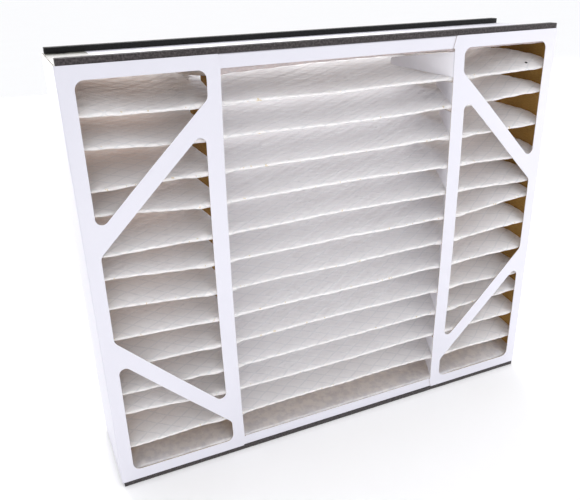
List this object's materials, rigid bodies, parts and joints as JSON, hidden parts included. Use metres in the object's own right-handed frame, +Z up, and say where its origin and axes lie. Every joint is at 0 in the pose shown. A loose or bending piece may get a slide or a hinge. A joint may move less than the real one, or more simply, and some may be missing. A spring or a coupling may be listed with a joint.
{
  "type": "pleated panel air filter",
  "caption": "Deep pleated air filter panel: white folded filter cloth in a die-cut board frame with diagonal struts, comb-spaced pleats and foam seal strips.",
  "frame": {"origin": "under the middle of the filter, level with the underside of the bottom foam strips", "axes": "+X along the pleats to the right as seen from the front, +Y from the front face to the back face, +Z up"},
  "size_m": [0.6128, 0.1238, 0.5111],
  "materials": {
    "board": "white coated paperboard, matt satin, brown kraft on its inner side and cut edges",
    "cloth": "soft white non-woven filter cloth, embossed by a diamond mesh",
    "foam": "black closed-cell foam, dull, finely speckled",
    "wire": "thin expanded galvanised steel mesh"
  },
  "bodies": {
    "root": {"top_rail": "board", "bottom_rail": "board", "left_end_cap": "board", "right_end_cap": "board", "pleated_media": "cloth", "gasket_top_front": "foam", "gasket_top_back": "foam", "gasket_bottom_front": "foam", "gasket_bottom_back": "foam"}
  },
  "joints": []
}
